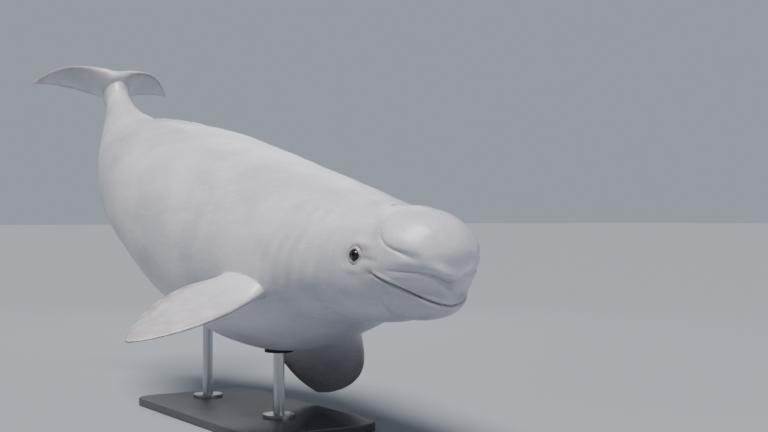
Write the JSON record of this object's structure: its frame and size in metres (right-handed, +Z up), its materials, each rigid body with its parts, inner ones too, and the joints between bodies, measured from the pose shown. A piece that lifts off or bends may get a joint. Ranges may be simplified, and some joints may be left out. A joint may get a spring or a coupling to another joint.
{
  "type": "beluga whale display model",
  "caption": "Life-size beluga whale with raised tail and spread flippers, held by a plain display stand.",
  "frame": {"origin": "centre of the model's bounding box in plan, on the floor under the stand", "axes": "+X towards the whale's head, +Y to its left, +Z up"},
  "size_m": [4.0116, 1.3652, 1.7861],
  "materials": {
    "skin": "satin, cool off-white skin",
    "eye": "polished, near black",
    "stand_paint": "satin dark grey",
    "stand_steel": "brushed",
    "stand_rubber": "matte black"
  },
  "bodies": {
    "root": {"head": "skin", "lower_jaw": "skin", "neck": "skin", "chest": "skin", "torso": "skin", "tail_stock": "skin", "fluke_left": "skin", "fluke_right": "skin", "flipper_left": "skin", "flipper_right": "skin", "eye_left": "eye", "eye_right": "eye", "stand_base": "stand_paint", "stand_pad_front": "stand_rubber", "stand_rod_front": "stand_steel", "stand_flange_front": "stand_steel", "stand_pad_rear": "stand_rubber", "stand_rod_rear": "stand_steel", "stand_flange_rear": "stand_steel"}
  },
  "joints": []
}
